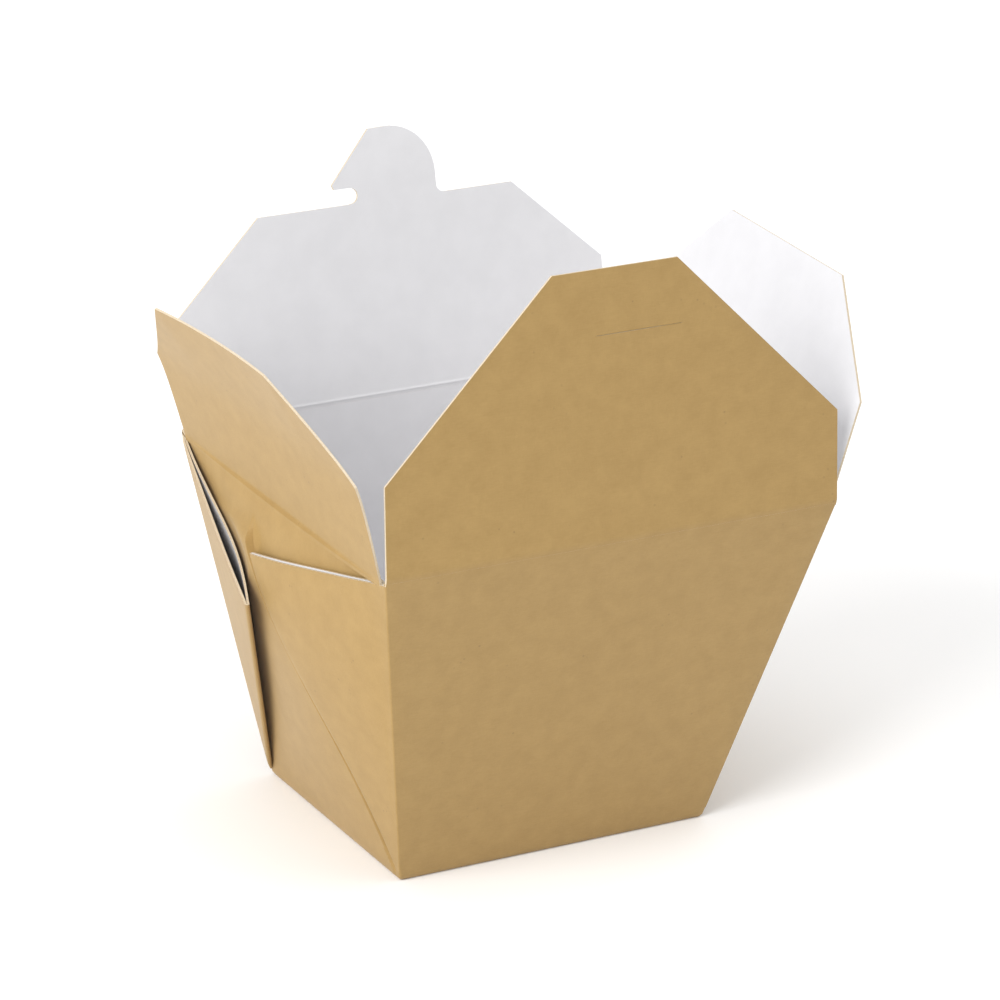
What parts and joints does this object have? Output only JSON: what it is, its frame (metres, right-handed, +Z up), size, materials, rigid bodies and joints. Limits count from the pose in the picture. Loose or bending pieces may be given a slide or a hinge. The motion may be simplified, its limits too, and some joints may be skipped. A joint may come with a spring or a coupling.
{
  "type": "takeaway food box",
  "caption": "Flared folding paperboard takeaway box with outside corner webs, hinged lid flaps and a hooked tab-and-slit closure, standing open.",
  "frame": {"origin": "centre of the underside of the base", "axes": "+Z up out of the open top, +X along the wider walls, -Y towards the wall whose flap has the slit"},
  "size_m": [0.1362, 0.1026, 0.1315],
  "materials": {
    "kraft_board": "matt unprinted kraft outside, smooth white coating inside"
  },
  "bodies": {
    "tub": {"tub": "kraft_board"},
    "front_flap": {"front_flap": "kraft_board"},
    "back_flap": {"back_flap": "kraft_board"},
    "left_flap": {"left_flap": "kraft_board"},
    "right_flap": {"right_flap": "kraft_board"}
  },
  "joints": [
    {"name": "front_crease", "type": "hinge", "parent": "tub", "child": "front_flap", "pos_m": [0, -0.04325, 0.076], "axis": [1, 0, 0], "range_deg": [-74.8, 97.7]},
    {"name": "back_crease", "type": "hinge", "parent": "tub", "child": "back_flap", "pos_m": [0, 0.04325, 0.076], "axis": [-1, 0, 0], "range_deg": [-103.8, 73.7]},
    {"name": "left_crease", "type": "hinge", "parent": "tub", "child": "left_flap", "pos_m": [-0.05275, 0, 0.0751], "axis": [0, -1, 0], "range_deg": [-117, 65]},
    {"name": "right_crease", "type": "hinge", "parent": "tub", "child": "right_flap", "pos_m": [0.05275, 0, 0.0751], "axis": [0, 1, 0], "range_deg": [-109.4, 72.6]}
  ]
}
